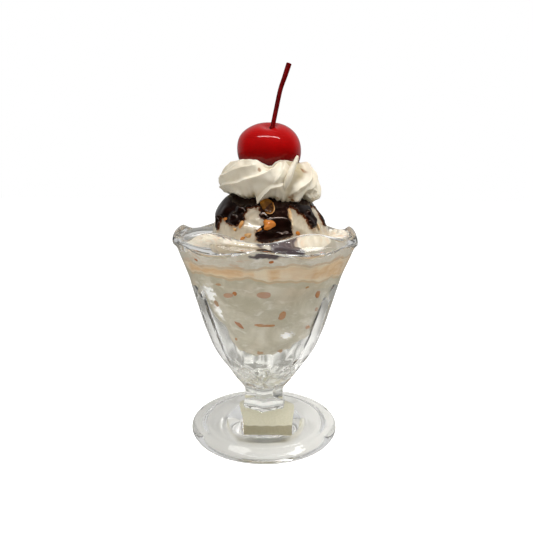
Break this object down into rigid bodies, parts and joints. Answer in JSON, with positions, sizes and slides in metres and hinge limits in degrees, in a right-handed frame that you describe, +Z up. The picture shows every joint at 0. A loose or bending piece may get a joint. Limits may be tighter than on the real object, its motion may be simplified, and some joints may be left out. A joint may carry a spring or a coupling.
{
  "type": "ice cream sundae",
  "caption": "Display ice cream sundae in a footed pressed-glass tulip dish: layered fill, scoop with fudge and nuts, piped cream ring and stemmed cherry.",
  "frame": {"origin": "centre of the flat ring under the foot, on the surface it stands on", "axes": "+Z up, front towards -Y, right towards +X"},
  "size_m": [0.0962, 0.0972, 0.1946],
  "materials": {
    "glass": "clear pressed glass, glossy",
    "ice_cream": "off-white with a grey beige cast, satin",
    "caramel": "pale caramel, satin",
    "ice_cream_top": "off-white, softly glossy",
    "scoop": "off-white under a clear wet-looking gloss",
    "fudge": "very dark brown, high gloss",
    "cream": "warm white, satin",
    "cherry": "deep red, high gloss",
    "cherry_stem": "dark red, glossy",
    "label": "cream paper, matte"
  },
  "bodies": {
    "root": {"glass": "glass", "ice_cream_fill": "ice_cream", "caramel_layer": "caramel", "ice_cream_top": "ice_cream_top", "scoop": "scoop", "fudge_sauce": "fudge", "whipped_cream": "cream", "cherry": "cherry", "cherry_stem": "cherry_stem", "label": "label"}
  },
  "joints": []
}
